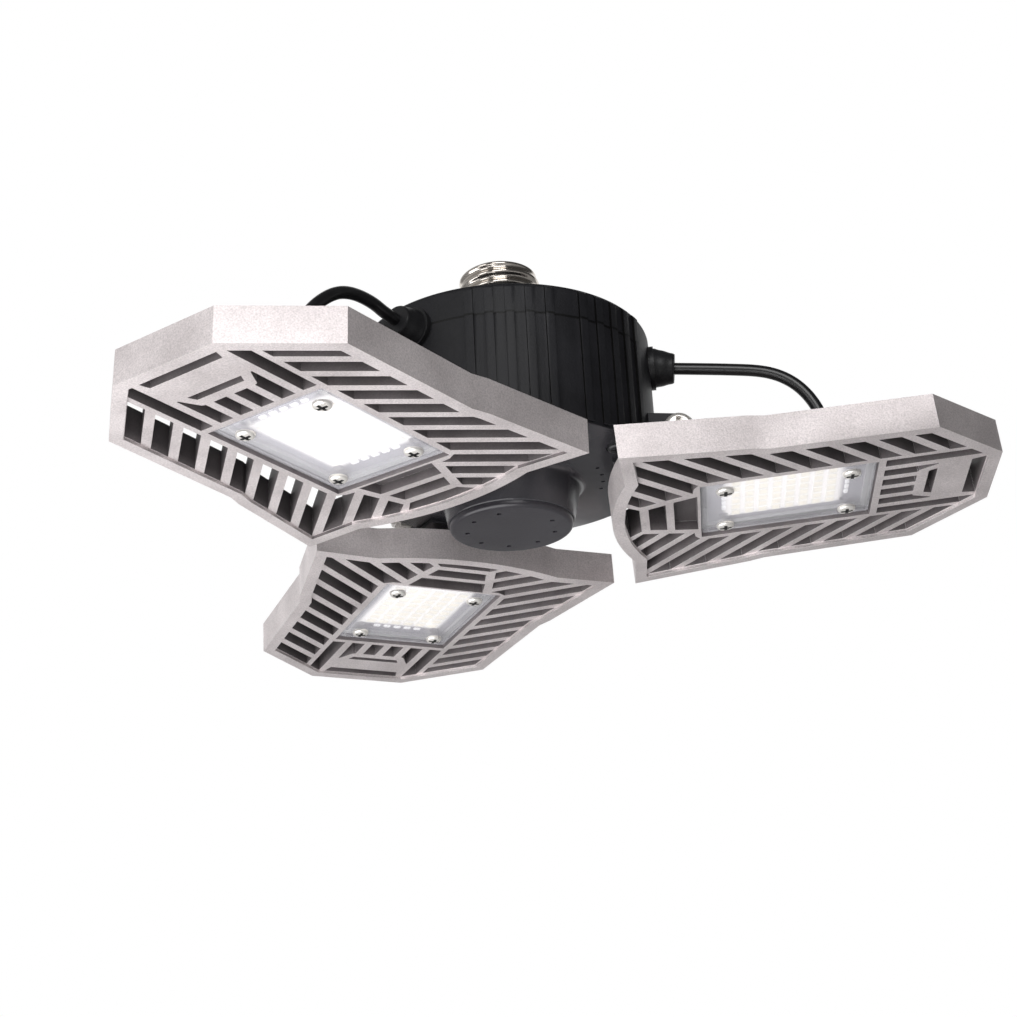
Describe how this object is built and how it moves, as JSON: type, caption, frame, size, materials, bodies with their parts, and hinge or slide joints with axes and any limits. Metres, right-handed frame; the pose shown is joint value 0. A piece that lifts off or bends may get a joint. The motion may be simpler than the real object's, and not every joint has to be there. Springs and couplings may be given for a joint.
{
  "type": "deformable garage light",
  "caption": "Screw-in ceiling light with a ribbed drum and hinged finned LED panels that fold up beside it, each fed by a short cable.",
  "frame": {"origin": "tip of the centre contact on the screw base's axis, where the lamp holder's centre spring presses", "axes": "+Z along the screw base's axis, up into the ceiling socket; +X along the middle of panel 1, with panels 2 and 3 following at 120 degree steps"},
  "size_m": [0.2479, 0.2716, 0.0975],
  "materials": {
    "nickel_shell": "bright nickel plate",
    "brass_contact": "dull solder-tinned brass",
    "base_insulator": "pale glossy",
    "black_plastic": "fine satin texture",
    "carrier_grey": "dark grey satin paint",
    "cap_grey": "dark grey satin",
    "screw_steel": "zinc plate",
    "nickel_bolt": "bright nickel plate",
    "board_green": "solder mask",
    "transformer_core": "ferrite and tape",
    "capacitor_can": "sleeved can",
    "component_black": "moulded epoxy",
    "lead_insulation": "smooth",
    "gland_rubber": "satin rubber",
    "cable_jacket": "semi-gloss jacket",
    "cast_aluminium": "die-cast, fine blasted grain",
    "clear_lens": "clear moulded",
    "gasket_rubber": "translucent silicone",
    "white_board": "white solder mask on metal core",
    "led_phosphor": "phosphor"
  },
  "bodies": {
    "hub": {"centre_contact": "brass_contact", "base_insulator": "base_insulator", "screw_shell": "nickel_shell", "top_cover": "black_plastic", "drum_housing": "black_plastic", "panel_carrier": "carrier_grey", "bottom_cap": "cap_grey", "housing_screws": "screw_steel", "driver_board": "board_green", "board_screws": "screw_steel", "transformer": "transformer_core", "bulk_capacitors": "capacitor_can", "filter_inductor": "transformer_core", "bridge_rectifier": "component_black", "mains_leads": "lead_insulation", "output_leads": "lead_insulation", "hinge_1_bolt": "nickel_bolt", "hinge_1_nut": "nickel_bolt", "hinge_1_washers": "nickel_bolt", "cable_gland_1": "gland_rubber", "cable_1": "cable_jacket", "hinge_2_bolt": "nickel_bolt", "hinge_2_nut": "nickel_bolt", "hinge_2_washers": "nickel_bolt", "cable_gland_2": "gland_rubber", "cable_2": "cable_jacket", "hinge_3_bolt": "nickel_bolt", "hinge_3_nut": "nickel_bolt", "hinge_3_washers": "nickel_bolt", "cable_gland_3": "gland_rubber", "cable_3": "cable_jacket"},
    "panel_1": {"panel_1_casting": "cast_aluminium", "panel_1_lens": "clear_lens", "panel_1_lens_gasket": "gasket_rubber", "panel_1_led_board": "white_board", "panel_1_led_chips": "led_phosphor", "panel_1_lens_screws": "nickel_bolt", "panel_1_entry_grommet": "gland_rubber"},
    "panel_2": {"panel_2_casting": "cast_aluminium", "panel_2_lens": "clear_lens", "panel_2_lens_gasket": "gasket_rubber", "panel_2_led_board": "white_board", "panel_2_led_chips": "led_phosphor", "panel_2_lens_screws": "nickel_bolt", "panel_2_entry_grommet": "gland_rubber"},
    "panel_3": {"panel_3_casting": "cast_aluminium", "panel_3_lens": "clear_lens", "panel_3_lens_gasket": "gasket_rubber", "panel_3_led_board": "white_board", "panel_3_led_chips": "led_phosphor", "panel_3_lens_screws": "nickel_bolt", "panel_3_entry_grommet": "gland_rubber"}
  },
  "joints": [
    {"name": "panel_1_hinge", "type": "hinge", "parent": "hub", "child": "panel_1", "pos_m": [0.054, 0, -0.0695], "axis": [0, -1, 0], "range_deg": [-8.3, 86.7], "deforming": ["cable_1"]},
    {"name": "panel_2_hinge", "type": "hinge", "parent": "hub", "child": "panel_2", "pos_m": [-0.027, 0.04677, -0.0695], "axis": [0.866, 0.5, 0], "range_deg": [-2.8, 92.2], "deforming": ["cable_2"]},
    {"name": "panel_3_hinge", "type": "hinge", "parent": "hub", "child": "panel_3", "pos_m": [-0.027, -0.04677, -0.0695], "axis": [-0.866, 0.5, 0], "range_deg": [-6.3, 88.7], "deforming": ["cable_3"]}
  ]
}
